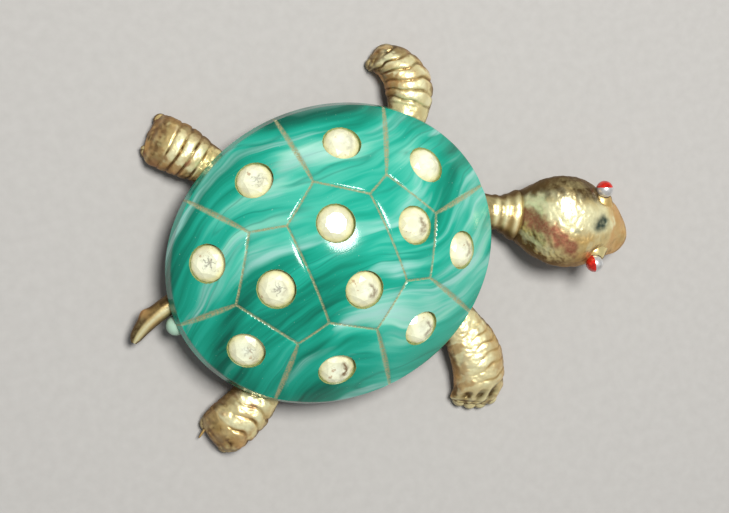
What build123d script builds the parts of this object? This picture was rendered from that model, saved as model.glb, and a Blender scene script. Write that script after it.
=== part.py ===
from build123d import *
import os
from collections import namedtuple
from math import atan2, cos, degrees, hypot, pi, radians, sin

# A turtle brooch: a green plastic shell set with cut stones, on one gold plated casting.
# Millimetres. +X to the head, +Y to the turtle's left, +Z up. The feet stand on Z = 0.

# The shell
shell_length = 36.0
shell_width = 30.8
shell_base = 4.5  # height of its flat underside
shell_twist = 7.5  # degrees that it sits turned on the casting
rim_height = 1.5
rim_draft = 0.4  # how far the rim wall leans in
dome_rise = 7.8  # from the crease above the rim wall to the top
groove_width = 0.5
rim_groove_width = 0.8
groove_depth = 0.35

# The stones and their drilled seats
stone_diameter = 3.9
table_diameter = 2.2
girdle_height = 0.12
crown_height = 0.6
pavilion_height = 1.45
culet_diameter = 0.3
facet_count = 8
seat_clearance = 0.2  # round the stone
seat_gap = 0.06  # under the stone

# The casting
plate_thickness = 1.2
plate_inset = 0.8  # the shell's edge stands this far past the plate
glue_gap = 0.05
leg_width = 5.4
leg_sink = 0.15  # the legs' roots lie this far under the shell
rib_count = 7
rib_depth = 0.16
toe_diameter = 1.5
claw_length = 0.7
claw_diameter = 0.6
claw_tip = 0.2
last_rib = 0.86  # share of the leg's reach that is wrinkled
toe_line = 0.95  # share of the leg's reach where its toes lie
toe_lift = 0.45  # share of a toe's size from the table to its middle
neck_overlap = 1.4  # how far the neck reaches in under the shell
neck_length = 4.6
neck_width = 4.2
neck_height = 3.3
neck_ring_count = 4
neck_ring_depth = 0.2
head_length = 13.8
head_width = 9.9
head_height = 6.9
head_level = 4.8  # height of the head's middle
head_turn = 24.5  # degrees to the turtle's right
tail_overlap = 2.1
tail_length = 7.6
tail_width = 2.3
tail_height = 1.9
tail_droop = 1.5
tail_turn = 83.0  # degrees that it curls to the turtle's right
lug_diameter = 2.1
lug_reach = 1.0  # past the shell's edge
lug_side = 8.0  # degrees to the turtle's right of the tail

# The eyes and their collars
eye_diameter = 1.9
eye_spacing = 8.2
eye_setback = 4.4  # from the snout
eye_lift = 1.1  # above the head's middle
eye_tilt = 35.0  # degrees that each eye looks up
eye_clearance = 0.04
collar_wall = 0.3
collar_depth = 2.2
collar_flare = 0.9  # how much wider its root is than its rim, all round

# The fastening pin
bar_length = 24.0
bar_width = 2.4
bar_thickness = 0.5
hinge_diameter = 1.9
hinge_inset = 1.4  # from the bar's end to the middle of the hinge or catch
stem_diameter = 0.9
stem_drop = 1.7  # from the plate to the middle of the stem
catch_width = 1.6
catch_wall = 0.45

# How finely the lofts follow their shapes
oval_points = 12
path_steps = 60

# What follows from them
half_length = shell_length / 2 - rim_draft
width_share = shell_width / shell_length
half_width = half_length * width_share
crease_level = shell_base + rim_height
plate_top = shell_base - glue_gap
plate_level = plate_top - plate_thickness
stone_radius = stone_diameter / 2
seat_radius = stone_radius + seat_clearance
eye_radius = eye_diameter / 2 + eye_clearance
leg_height = plate_top - leg_sink - rib_depth
neck_level = plate_top - leg_sink - neck_ring_depth - neck_height / 2
tail_level = plate_top - leg_sink - tail_height / 2
turned = Location((0, 0, 0), (0, 0, shell_twist))

# Where the grooves meet, as shares of the dome's half length and half width. A name
# that lies off the middle line stands for its mirror on the turtle's right as well.
Place = namedtuple("Place", "along across")
groove_places = {
    "hexagon_front": Place(0.25, 0.32),
    "hexagon_rear": Place(-0.265, 0.355),
    "hexagon_side": Place(-0.015, 0.545),
    "shoulder": Place(0.4, 0.385),
    "hip": Place(-0.465, 0.41),
    "front": Place(0.59, 0.0),
    "rear": Place(-0.695, 0.0),
    "edge_side": Place(-0.01, 1.05),
    "edge_front_side": Place(0.65, 0.83),
    "edge_rear_side": Place(-0.7, 0.78),
    "edge_front": Place(1.05, 0.0),
    "edge_rear": Place(-1.05, 0.0),
}
inner_grooves = [
    ("hexagon_front", "hexagon_side"),
    ("hexagon_side", "hexagon_rear"),
    ("hexagon_front", "shoulder"),
    ("hexagon_rear", "hip"),
    ("shoulder", "front"),
    ("hip", "rear"),
]
crossing_grooves = ["hexagon_front", "hexagon_rear"]
rim_grooves = [
    ("hexagon_side", "edge_side"),
    ("shoulder", "edge_front_side"),
    ("hip", "edge_rear_side"),
    ("front", "edge_front"),
    ("rear", "edge_rear"),
]

# Each stone's place in its scute, in the same shares and with the same mirroring.
stone_places = {
    "stone_centre": Place(-0.015, 0.245),
    "stone_front": Place(0.425, 0.0),
    "stone_rear": Place(-0.47, 0.0),
    "stone_side_front": Place(0.255, 0.7),
    "stone_side_rear": Place(-0.305, 0.71),
    "stone_rim_front": Place(0.675, 0.325),
    "stone_rim_rear": Place(-0.745, 0.325),
}

# The legs: root as shares of the shell's half length and half width, heading and bend in
# degrees, reach in millimetres, and the widths of the leg and its foot as shares.
Leg = namedtuple("Leg", "root_along root_across heading bend reach width foot toes claws")
front_left = Leg(0.62, 0.63, heading=52, bend=118, reach=10.7, width=1.0, foot=0.72, toes=3, claws=0)
front_right = Leg(0.61, -0.62, heading=-67, bend=-72, reach=11.9, width=1.1, foot=0.9, toes=4, claws=0)
rear_left = Leg(-0.475, 0.72, heading=132, bend=10, reach=8.3, width=0.97, foot=1.02, toes=3, claws=1)
rear_right = Leg(-0.505, -0.7, heading=-146, bend=-14, reach=9.3, width=1.0, foot=1.0, toes=3, claws=1)
legs = [front_left, front_right, rear_left, rear_right]

# A leg from its root to its toes, in shares of its reach, of leg_width and of leg_height.
LegSection = namedtuple("LegSection", "along width top bottom foot")
leg_sections = [
    LegSection(along=0.0, width=0.76, top=0.96, bottom=0.30, foot=0.0),
    LegSection(along=0.25, width=0.82, top=1.00, bottom=0.18, foot=0.0),
    LegSection(along=0.5, width=0.98, top=1.06, bottom=0.03, foot=0.1),
    LegSection(along=0.75, width=1.00, top=0.99, bottom=-0.12, foot=0.6),
    LegSection(along=0.9, width=0.98, top=0.84, bottom=-0.16, foot=1.0),
    LegSection(along=0.97, width=0.86, top=0.68, bottom=-0.12, foot=1.0),
    LegSection(along=1.0, width=0.66, top=0.52, bottom=-0.06, foot=1.0),
]

# The head behind its snout: shares of head_length, head_width and head_height, and the
# section's level as a share of the way from neck_level to head_level.
HeadSection = namedtuple("HeadSection", "along width height level")
head_sections = [
    HeadSection(along=0.08, width=0.60, height=0.62, level=0.30),
    HeadSection(along=0.17, width=0.80, height=0.80, level=0.65),
    HeadSection(along=0.28, width=0.94, height=0.95, level=0.92),
    HeadSection(along=0.41, width=1.00, height=1.00, level=1.00),
    HeadSection(along=0.54, width=0.97, height=0.97, level=0.95),
    HeadSection(along=0.70, width=0.79, height=0.86, level=0.75),
    HeadSection(along=0.81, width=0.62, height=0.70, level=0.50),
    HeadSection(along=0.90, width=0.45, height=0.52, level=0.35),
    HeadSection(along=0.97, width=0.26, height=0.32, level=0.25),
    HeadSection(along=1.0, width=0.10, height=0.12, level=0.22),
]

# The tail from its root to its tip, in shares of tail_length, tail_width and tail_height.
TailSection = namedtuple("TailSection", "along width height drop")
tail_sections = [
    TailSection(along=0.0, width=1.0, height=1.0, drop=0.0),
    TailSection(along=0.4, width=1.0, height=1.0, drop=0.25),
    TailSection(along=0.7, width=0.88, height=0.9, drop=0.6),
    TailSection(along=0.92, width=0.6, height=0.62, drop=0.9),
    TailSection(along=1.0, width=0.25, height=0.25, drop=1.0),
]


def both_sides(place):
    """A place, and its mirror on the turtle's right where it lies off the middle line."""
    if place.across == 0:
        return [("", place)]
    return [("_left", place), ("_right", Place(place.along, -place.across))]


def dome_plane(place):
    """The plane that touches the dome at a place and faces out, before the shell is turned."""
    rise = dome_rise * (1 - place.along**2 - place.across**2)
    slope_x = 2 * dome_rise * place.along / half_length
    slope_y = 2 * dome_rise * place.across / half_width
    origin = (place.along * half_length, place.across * half_width, crease_level + rise)
    return Plane(origin, x_dir=(1, 0, -slope_x), z_dir=(slope_x, slope_y, 1))


def groove_slot(start, end, width):
    """A straight slot from place to place, seen from above."""
    run_x = (end.along - start.along) * half_length
    run_y = (end.across - start.across) * half_width
    middle_x = (end.along + start.along) / 2 * half_length
    middle_y = (end.across + start.across) / 2 * half_width
    with Locations((middle_x, middle_y)):
        SlotCenterToCenter(hypot(run_x, run_y), width, rotation=degrees(atan2(run_y, run_x)))


def shell_blank(level):
    """The plain shell on a flat underside at a level: a leaning rim wall under a paraboloid."""
    with BuildPart() as blank:
        with BuildSketch(Plane.XZ):
            with BuildLine():
                crease = (half_length, level + rim_height)
                top = (0, level + rim_height + dome_rise)
                Polyline(top, (0, level), (shell_length / 2, level), crease)
                Bezier(crease, (half_length / 2, top[1]), top)
            make_face()
        revolve(axis=Axis.Z)
        scale(by=(1, width_share, 1))
    return blank.part


def cut_stone(plane):
    """A round stone on its seat's plane: a table, and facets over and under a round girdle."""
    girdle = plane.offset(-crown_height - girdle_height / 2)
    with BuildPart() as stone:
        levels = [
            (-girdle_height / 2 - pavilion_height, culet_diameter),
            (-girdle_height / 2, stone_diameter),
            (girdle_height / 2, stone_diameter),
            (girdle_height / 2 + crown_height, table_diameter),
        ]
        for height, across_flats in levels:
            with BuildSketch(girdle.offset(height)):
                RegularPolygon(across_flats / 2, facet_count, major_radius=False)
        loft(ruled=True)
        with BuildSketch(girdle.offset(-pavilion_height - girdle_height)):
            Circle(stone_radius)
        extrude(amount=crown_height + pavilion_height + 2 * girdle_height, mode=Mode.INTERSECT)
    return stone.part


def table_value(rows, along, column):
    """A column of a table of sections, read between its rows."""
    for low, high in zip(rows, rows[1:]):
        if along <= high.along:
            share = (along - low.along) / (high.along - low.along)
            return getattr(low, column) * (1 - share) + getattr(high, column) * share
    return getattr(rows[-1], column)


def oval(point, heading, width, top, bottom):
    """An upright oval section across a heading, from a bottom level to a top level."""
    forward = Vector(cos(radians(heading)), sin(radians(heading)), 0)
    side = Vector(forward.Y, -forward.X, 0)
    turns = [2 * pi * i / oval_points for i in range(oval_points)]
    middle = (point[0], point[1], (top + bottom) / 2)
    with BuildSketch(Plane(middle, x_dir=side, z_dir=forward)) as section:
        with BuildLine():
            Spline(*[(width / 2 * cos(t), (top - bottom) / 2 * sin(t)) for t in turns], periodic=True)
        make_face()
    return section.sketch


def curled_path(start, heading, bend, reach, shares):
    """Points and headings along a level path whose bend grows towards its end."""
    found = []
    for share in shares:
        x, y = start
        for i in range(path_steps):
            turn = radians(heading + bend * (share * (i + 0.5) / path_steps) ** 2)
            x += share * reach / path_steps * cos(turn)
            y += share * reach / path_steps * sin(turn)
        found.append(((x, y), heading + bend * share**2))
    return found


def leg_solid(leg):
    """One wrinkled leg: crests and hollows in turn, then the rounded foot with its toes."""
    start = (leg.root_along * shell_length / 2, leg.root_across * shell_width / 2)
    ribs = [last_rib * i / (2 * rib_count) for i in range(2 * rib_count + 1)]
    shares = ribs + [row.along for row in leg_sections if row.along > last_rib]
    path = curled_path(start, leg.heading, leg.bend, leg.reach, shares)
    sections = []
    for i, (share, (point, heading)) in enumerate(zip(shares, path)):
        wrinkle = rib_depth * (-1) ** i if share < last_rib else 0
        foot = 1 + (leg.foot - 1) * table_value(leg_sections, share, "foot")
        girth = leg_width * leg.width * foot
        width = table_value(leg_sections, share, "width") * girth - wrinkle
        top = table_value(leg_sections, share, "top") * leg_height - wrinkle
        bottom = table_value(leg_sections, share, "bottom") * leg_height
        sections.append(oval(point, heading, width, top, bottom))
    (x, y), heading = curled_path(start, leg.heading, leg.bend, leg.reach, [toe_line])[0]
    forward = Vector(cos(radians(heading)), sin(radians(heading)), 0)
    spread = leg_width * leg.width * leg.foot - toe_diameter
    with BuildPart() as solid:
        loft(sections, ruled=True)
        for i in range(leg.toes):
            aside = spread * (i / (leg.toes - 1) - 0.5)
            toe = Vector(x + aside * forward.Y, y - aside * forward.X, toe_diameter * toe_lift)
            with Locations(Plane(toe, z_dir=forward)):
                Sphere(toe_diameter / 2)
                if i < leg.claws:
                    Cone(claw_diameter / 2, claw_tip / 2, toe_diameter + 2 * claw_length)
    return solid.part


def head_point(along, aside=0.0):
    """A point over the table on the head's own line, from the neck's root."""
    turn = radians(-head_turn)
    root = shell_length / 2 - neck_overlap
    return (root + along * cos(turn) - aside * sin(turn), along * sin(turn) + aside * cos(turn))


def neck_and_head():
    """The ringed neck and the head, lofted in one."""
    sections = []
    for i in range(2 * neck_ring_count + 1):
        ring = neck_ring_depth * (-1) ** i
        along = neck_length * i / (2 * neck_ring_count + 1)
        top = neck_level + neck_height / 2 - ring
        bottom = neck_level - neck_height / 2 + ring
        sections.append(oval(head_point(along), -head_turn, neck_width - 2 * ring, top, bottom))
    for row in head_sections:
        level = neck_level + (head_level - neck_level) * row.level
        rise = head_height * row.height / 2
        point = head_point(neck_length + row.along * head_length)
        sections.append(oval(point, -head_turn, head_width * row.width, level + rise, level - rise))
    with BuildPart() as solid:
        loft(sections, ruled=True)
    return solid.part


def tail_solid():
    """The smooth tail, curled to the turtle's right and drooping."""
    start = (tail_overlap - shell_length / 2, 0)
    path = curled_path(start, 180, tail_turn, tail_length, [row.along for row in tail_sections])
    sections = []
    for row, (point, heading) in zip(tail_sections, path):
        level = tail_level - tail_droop * row.drop
        rise = tail_height * row.height / 2
        sections.append(oval(point, heading, tail_width * row.width, level + rise, level - rise))
    with BuildPart() as solid:
        loft(sections, ruled=True)
    return solid.part


def eye_planes():
    """Where each eye sits, facing out and up."""
    along = neck_length + head_length - eye_setback
    found = {}
    for name, side in (("eye_left", 1), ("eye_right", -1)):
        x, y = head_point(along, side * eye_spacing / 2)
        turn = radians(side * 90 - head_turn)
        tilt = radians(eye_tilt)
        outward = (cos(turn) * cos(tilt), sin(turn) * cos(tilt), sin(tilt))
        found[name] = Plane((x, y, head_level + eye_lift), z_dir=outward)
    return found


# The shell: the blank, its grooves and the stones' seats
seats = {}
for name, place in stone_places.items():
    for side, spot in both_sides(place):
        seats[name + side] = dome_plane(spot)

with BuildPart() as groove_cutter:
    with BuildSketch(Plane.XY.offset(crease_level - groove_depth)):
        for start, end in inner_grooves + rim_grooves:
            width = rim_groove_width if end.startswith("edge") else groove_width
            starts, ends = both_sides(groove_places[start]), both_sides(groove_places[end])
            for i in range(max(len(starts), len(ends))):
                groove_slot(starts[i % len(starts)][1], ends[i % len(ends)][1], width)
        for name in crossing_grooves:
            (_, left), (_, right) = both_sides(groove_places[name])
            groove_slot(left, right, groove_width)
    extrude(amount=dome_rise + 2 * groove_depth)
    add(shell_blank(shell_base - groove_depth), mode=Mode.SUBTRACT)

with BuildPart() as shell:
    add(shell_blank(shell_base))
    add(groove_cutter.part, mode=Mode.SUBTRACT)
    for seat in seats.values():
        under_girdle = seat.offset(-crown_height - girdle_height - seat_gap)
        with BuildSketch(under_girdle):
            Circle(seat_radius)
        extrude(amount=crown_height + girdle_height + 2 * seat_gap + stone_radius / 2, mode=Mode.SUBTRACT)
        with BuildSketch(under_girdle):
            Circle(seat_radius)
        with BuildSketch(under_girdle.offset(-pavilion_height)):
            Circle(culet_diameter)
        loft(mode=Mode.SUBTRACT)

# The casting: the plate, the legs, the neck and head, the tail, the lug and the eye collars
eyes = eye_planes()
with BuildPart() as body:
    with BuildSketch(Plane.XY.offset(plate_level)):
        Ellipse(shell_length / 2 - plate_inset, shell_width / 2 - plate_inset, rotation=shell_twist)
    extrude(amount=plate_thickness)
    for leg in legs:
        add(leg_solid(leg))
    add(neck_and_head())
    add(tail_solid())
    with Locations((0, 0, plate_top - leg_sink - lug_diameter / 2)):
        with PolarLocations(shell_length / 2 + lug_reach - lug_diameter / 2, 1, 180 + lug_side):
            Sphere(lug_diameter / 2)
            Cylinder(
                lug_diameter / 2,
                2 * lug_diameter,
                rotation=(0, 90, 0),
                align=(Align.CENTER, Align.CENTER, Align.MAX),
            )
    for eye in eyes.values():
        with Locations(eye):
            rim_radius = eye_radius + collar_wall
            on_rim = (Align.CENTER, Align.CENTER, Align.MAX)
            Cone(rim_radius + collar_flare, rim_radius, collar_depth, align=on_rim)
            Sphere(eye_radius, mode=Mode.SUBTRACT)
    split(bisect_by=Plane.XY)

# The pin: bar, hinge, stem and catch in one plain piece
stem_level = plate_level - stem_drop
bar_top = plate_level - glue_gap
hinge_place = bar_length / 2 - hinge_inset
with BuildPart() as pin:
    with Locations((0, 0, bar_top)):
        Box(bar_length, bar_width, bar_thickness, align=(Align.CENTER, Align.CENTER, Align.MAX))
    hinge_end = (hinge_place, bar_width / 2, stem_level)
    with BuildSketch(Plane(hinge_end, x_dir=(-1, 0, 0), z_dir=(0, -1, 0))):
        Circle(hinge_diameter / 2)
        Rectangle(hinge_diameter, bar_top - stem_level, align=(Align.CENTER, Align.MAX))
    extrude(amount=bar_width)
    with BuildSketch(Plane((hinge_place, 0, stem_level), z_dir=(-1, 0, 0))):
        Circle(stem_diameter / 2)
    extrude(amount=2 * hinge_place + catch_width / 2)
    catch_place = (-hinge_place - catch_width / 2, 0, stem_level)
    with BuildSketch(Plane(catch_place, x_dir=(0, 1, 0), z_dir=(1, 0, 0))):
        Circle(stem_diameter / 2 + catch_wall)
        Rectangle(stem_diameter + 2 * catch_wall, bar_top - stem_level, align=(Align.CENTER, Align.MIN))
    extrude(amount=catch_width)

with BuildPart() as eye_ball:
    Sphere(eye_diameter / 2)

pieces = {"shell": turned * shell.part, "body": body.part, "pin": pin.part}
for name, seat in seats.items():
    pieces[name] = turned * cut_stone(seat)
for name, plane in eyes.items():
    pieces[name] = plane.location * eye_ball.part

# The middle of the brooch's box comes over the origin.
box = Compound(list(pieces.values())).bounding_box()
centred = Location((-box.center().X, -box.center().Y, 0))
os.makedirs("parts", exist_ok=True)
for name, piece in pieces.items():
    placed = centred * piece
    placed.label = name
    export_step(placed, f"parts/{name}.step")
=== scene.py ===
import math
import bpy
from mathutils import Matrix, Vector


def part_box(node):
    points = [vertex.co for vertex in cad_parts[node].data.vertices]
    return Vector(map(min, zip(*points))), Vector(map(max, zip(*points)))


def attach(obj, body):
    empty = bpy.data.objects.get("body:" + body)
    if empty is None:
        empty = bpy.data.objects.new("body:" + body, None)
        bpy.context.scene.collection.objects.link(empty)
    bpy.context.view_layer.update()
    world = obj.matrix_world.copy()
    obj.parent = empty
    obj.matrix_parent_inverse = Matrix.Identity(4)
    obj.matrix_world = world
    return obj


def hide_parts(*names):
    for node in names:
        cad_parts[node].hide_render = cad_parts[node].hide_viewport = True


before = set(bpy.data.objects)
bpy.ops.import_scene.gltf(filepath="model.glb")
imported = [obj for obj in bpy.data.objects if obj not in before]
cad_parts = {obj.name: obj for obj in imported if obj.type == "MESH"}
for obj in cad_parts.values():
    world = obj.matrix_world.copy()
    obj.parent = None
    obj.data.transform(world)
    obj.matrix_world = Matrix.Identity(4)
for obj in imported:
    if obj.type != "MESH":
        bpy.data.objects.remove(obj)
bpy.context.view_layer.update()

from types import SimpleNamespace
import bpy
import bmesh
import numpy as np
from mathutils import Matrix, Vector, noise


# The camera.
# The brooch was photographed from a hand's width above it, leaning a little over its tail.
camera_place = (-0.039689, 0.016186, 0.158165)
camera_turn = (-1.910, -14.807, -16.409)
camera_lens = 74.07


def add_object(name, data):
    """Puts an object that holds this data in the scene."""
    thing = bpy.data.objects.new(name, data)
    bpy.context.collection.objects.link(thing)
    return thing


camera_data = bpy.data.cameras.new("camera")
camera_data.lens = camera_lens
camera = add_object("camera", camera_data)
camera.location = camera_place
camera.rotation_euler = [math.radians(angle) for angle in camera_turn]
bpy.context.scene.camera = camera


# The shell.
# It is cast in glossy plastic with pale and dark green stirred through it. The scutes' grooves are
# cut with a wheel and rubbed with gold paint, and a seat is drilled for each stone.
mm = 0.001
shell_length = 36.0
shell_width = 30.8
shell_base = 4.5
shell_twist = 7.5
rim_height = 1.5
rim_draft = 0.4
dome_rise = 7.8
crease_rounding = 0.16
half_length = shell_length / 2 - rim_draft
half_width = half_length * shell_width / shell_length
crease_level = shell_base + rim_height
dome_cells = 232
shell_sharp_angle = 42
sliver_length = 0.0002
# The rim wall's steps under the dome's edge: how far out, how far down
rim_steps = [
    (crease_rounding * 0.35, crease_rounding * 0.7),
    (crease_rounding * 0.6, 2.2 * crease_rounding),
    (rim_draft * 0.6, rim_height * 0.6),
    (rim_draft, rim_height),
]
rim_clearance = 0.01
groove_width = 0.3
groove_depth = 0.13
rim_groove_width = 0.72
rim_groove_depth = 0.12
rim_groove_swell = 0.8
valley_width = 0.85
valley_depth = 0.27
valley_blend = 5
far_from_grooves = 9.0

shell_low, shell_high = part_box("shell")
shell_centre = (shell_low + shell_high) / 2 / mm
shell_centre.z = 0.0
shell_turn = Matrix.Translation(shell_centre) @ Matrix.Rotation(math.radians(shell_twist), 4, "Z")

# The grooves' corners, as shares of the dome's half length and half width, and what runs between them
groove_places = {
    "hexagon_front": (0.25, 0.32),
    "hexagon_rear": (-0.265, 0.355),
    "hexagon_side": (-0.015, 0.545),
    "shoulder": (0.4, 0.385),
    "hip": (-0.465, 0.41),
    "front": (0.59, 0.0),
    "rear": (-0.695, 0.0),
    "edge_side": (-0.01, 1.02),
    "edge_front_side": (0.64, 0.81),
    "edge_rear_side": (-0.69, 0.765),
    "edge_front": (1.02, 0.0),
    "edge_rear": (-1.02, 0.0),
}
grooves = [
    ("hexagon_front", "hexagon_side"),
    ("hexagon_side", "hexagon_rear"),
    ("hexagon_front", "shoulder"),
    ("hexagon_rear", "hip"),
    ("shoulder", "front"),
    ("hip", "rear"),
    ("hexagon_side", "edge_side"),
    ("shoulder", "edge_front_side"),
    ("hip", "edge_rear_side"),
    ("front", "edge_front"),
    ("rear", "edge_rear"),
]
crossing_grooves = ["hexagon_front", "hexagon_rear"]


def groove_lines():
    """Each groove's two ends in millimetres from the shell's middle, and whether it runs to the rim."""
    lines = []
    for start, end in grooves:
        on_middle = groove_places[start][1] == 0
        for side in (1,) if on_middle else (1, -1):
            (along_a, across_a), (along_b, across_b) = groove_places[start], groove_places[end]
            a = (along_a * half_length, side * across_a * half_width)
            b = (along_b * half_length, side * across_b * half_width)
            lines.append((a, b, end.startswith("edge")))
    for name in crossing_grooves:
        x, y = groove_places[name][0] * half_length, groove_places[name][1] * half_width
        lines.append(((x, y), (x, -y), False))
    return lines


def groove_field(x, y):
    """How deep the grooves and their valleys are at points of the dome, and how near the grooves are."""
    cut = np.zeros_like(x)
    valley = np.zeros_like(x)
    nearest = np.full_like(x, far_from_grooves)
    for (ax, ay), (bx, by), to_rim in groove_lines():
        run = (bx - ax, by - ay)
        along = ((x - ax) * run[0] + (y - ay) * run[1]) / math.hypot(*run)**2
        share = np.clip(along, 0, 1)
        distance = np.hypot(x - ax - share * run[0], y - ay - share * run[1])
        swell = np.sin(np.pi * share) ** rim_groove_swell if to_rim else 0
        half = (groove_width + (rim_groove_width - groove_width) * swell) / 2
        depth = groove_depth + (rim_groove_depth - groove_depth) * swell
        near = distance / half
        cut = np.maximum(cut, depth * np.clip(1 - near, 0, 1))
        valley += np.exp(-distance / valley_width * valley_blend)
        nearest = np.minimum(nearest, near)
    return cut + valley_depth * valley ** (1 / valley_blend), nearest


def dome_height(along, across):
    return dome_rise * (1 - along**2 - across**2)


def disc_points(cells):
    """A square grid bent onto a round disc, so that its cells are even and its edge is clean."""
    steps = np.linspace(-1, 1, cells + 1)
    u, v = np.meshgrid(steps, steps, indexing="ij")
    wide = np.abs(u) > np.abs(v)
    safe_u = np.where(u == 0, 1, u)
    safe_v = np.where(v == 0, 1, v)
    radius = np.where(wide, u, v)
    turn = np.where(wide, np.pi / 4 * v / safe_u, np.pi / 2 - np.pi / 4 * u / safe_v)
    return radius * np.cos(turn), radius * np.sin(turn)


def shell_mesh():
    """The dome, its rim wall and its flat underside, before the seats are drilled."""
    along, across = disc_points(dome_cells)
    along, across = along.ravel(), across.ravel()
    x, y = along * half_length, across * half_width
    z = crease_level + dome_height(along, across) - groove_field(x, y)[0]
    points = np.column_stack([x, y, z])
    index = np.arange(len(points)).reshape(dome_cells + 1, dome_cells + 1)
    cells = [index[:-1, :-1], index[1:, :-1], index[1:, 1:], index[:-1, 1:]]
    faces = np.column_stack([corner.ravel() for corner in cells]).tolist()
    edge = np.concatenate([index[:-1, 0], index[-1, :-1], index[:0:-1, -1], index[0, :0:-1]])
    around = np.arctan2(across[edge], along[edge])
    last = edge.tolist()
    for out, down in rim_steps:
        reach = half_length + out
        ring = np.column_stack([
            reach * np.cos(around),
            reach * shell_width / shell_length * np.sin(around),
            np.minimum(crease_level - down, points[edge, 2] - rim_clearance),
        ])
        current = list(range(len(points), len(points) + len(edge)))
        points = np.vstack([points, ring])
        for i in range(len(edge)):
            k = (i + 1) % len(edge)
            faces.append((last[i], current[i], current[k], last[k]))
        last = current
    faces.append(tuple(reversed(last)))
    mesh = bpy.data.meshes.new("shell_dome")
    mesh.from_pydata(points.tolist(), [], faces)
    mesh.update()
    return mesh


def standing(place, out):
    """The matrix that stands an upright shape at a place, facing a direction."""
    return Matrix.Translation(place) @ Vector((0, 0, 1)).rotation_difference(out).to_matrix().to_4x4()


def round_steps(count, offset=0):
    """The cosine and sine of even steps round a circle."""
    turns = [2 * math.pi * (i + offset) / count for i in range(count)]
    return [(math.cos(turn), math.sin(turn)) for turn in turns]


def turned_rings(profile, sides, matrix):
    """Rings of a turned shape, from its profile of radius and height, at a place."""
    return [
        [matrix @ Vector((radius * across, radius * up, height)) for across, up in round_steps(sides)]
        for radius, height in profile
    ]


def solid_mesh(name, solids, triangles=True):
    """A mesh of closed solids, each skinned over its rings of points, with a point at each end."""
    bm = bmesh.new()
    for rings in solids:
        count = len(rings[0])
        around = [(i, (i + 1) % count) for i in range(count)]
        rings = [[bm.verts.new(point) for point in ring] for ring in rings]
        tips = [bm.verts.new(sum((vert.co for vert in rings[end]), Vector()) / count) for end in (0, -1)]
        for low, high in zip(rings, rings[1:]):
            for i, k in around:
                bm.faces.new((low[i], low[k], high[k], high[i]))
        for i, k in around:
            bm.faces.new((rings[0][k], rings[0][i], tips[0]))
        for i, k in around:
            bm.faces.new((rings[-1][i], rings[-1][k], tips[1]))
    bmesh.ops.recalc_face_normals(bm, faces=bm.faces)
    if triangles:
        bmesh.ops.triangulate(bm, faces=bm.faces)
    mesh = bpy.data.meshes.new(name)
    bm.to_mesh(mesh)
    bm.free()
    return mesh


def finished_mesh(thing):
    """The object's mesh with its modifiers applied."""
    return bpy.data.meshes.new_from_object(thing.evaluated_get(bpy.context.evaluated_depsgraph_get()))


def drop_slivers(mesh, shortest):
    """Takes out the faces with no area that cutting and joining leave behind."""
    bm = bmesh.new()
    bm.from_mesh(mesh)
    bmesh.ops.triangulate(bm, faces=bm.faces)
    bmesh.ops.dissolve_degenerate(bm, dist=shortest, edges=bm.edges)
    bmesh.ops.triangulate(bm, faces=bm.faces)
    bm.to_mesh(mesh)
    bm.free()


def point_rows(mesh):
    """A mesh's points as rows of numbers."""
    rows = np.zeros(len(mesh.vertices) * 3, np.float32)
    mesh.vertices.foreach_get("co", rows)
    return rows.reshape(-1, 3)


def seen_from(matrix, rows):
    """Rows of points, as a place's own axes give them."""
    return (np.column_stack([rows, np.ones(len(rows))]) @ np.array(matrix.inverted()).T)[:, :3]


def set_mark(mesh, name, values, domain="POINT", kind="FLOAT"):
    """Keeps a number or a vector for each point or face, for the material to read."""
    field = "vector" if kind == "FLOAT_VECTOR" else "value"
    mesh.attributes.new(name, kind, domain).data.foreach_set(field, np.asarray(values, np.float32).ravel())


# The stones' places in the scutes, as shares of the dome's half length and half width
stone_places = {
    "stone_centre": (-0.015, 0.245),
    "stone_front": (0.425, 0.0),
    "stone_rear": (-0.47, 0.0),
    "stone_side_front": (0.255, 0.7),
    "stone_side_rear": (-0.305, 0.71),
    "stone_rim_front": (0.675, 0.325),
    "stone_rim_rear": (-0.745, 0.325),
}
seat_radius = 2.0
seat_depth = 2.1
seat_lean = 0.62
seat_rise = 0.14
seat_sides = 56
seat_knee = 0.62
seat_margin = (0.02, 0.1)
drill_tip = 0.3
drill_above = 3.0
seat_profile = [(drill_tip, -seat_depth), (seat_radius, -seat_knee), (seat_radius, drill_above)]

# Each stone's node, and the place of its table on the dome, facing out
seats = {}
for name, (along, across) in stone_places.items():
    for ending, side in (("", 1),) if across == 0 else (("_left", 1), ("_right", -1)):
        lean = seat_lean * 2 * dome_rise
        out = Vector((lean * along / half_length, lean * side * across / half_width, 1)).normalized()
        level = crease_level + dome_height(along, across) + seat_rise
        seats[name + ending] = standing((along * half_length, side * across * half_width, level), out)

drills = [turned_rings(seat_profile, seat_sides, place) for place in seats.values()]
drill = add_object("drill", solid_mesh("drill", drills, triangles=False))
blank = add_object("shell_dome", shell_mesh())
cut = blank.modifiers.new("seats", "BOOLEAN")
cut.operation = "DIFFERENCE"
cut.solver = "EXACT"
cut.object = drill
shell_final = finished_mesh(blank)
bpy.data.objects.remove(blank)
bpy.data.objects.remove(drill)
drop_slivers(shell_final, sliver_length)

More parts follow.
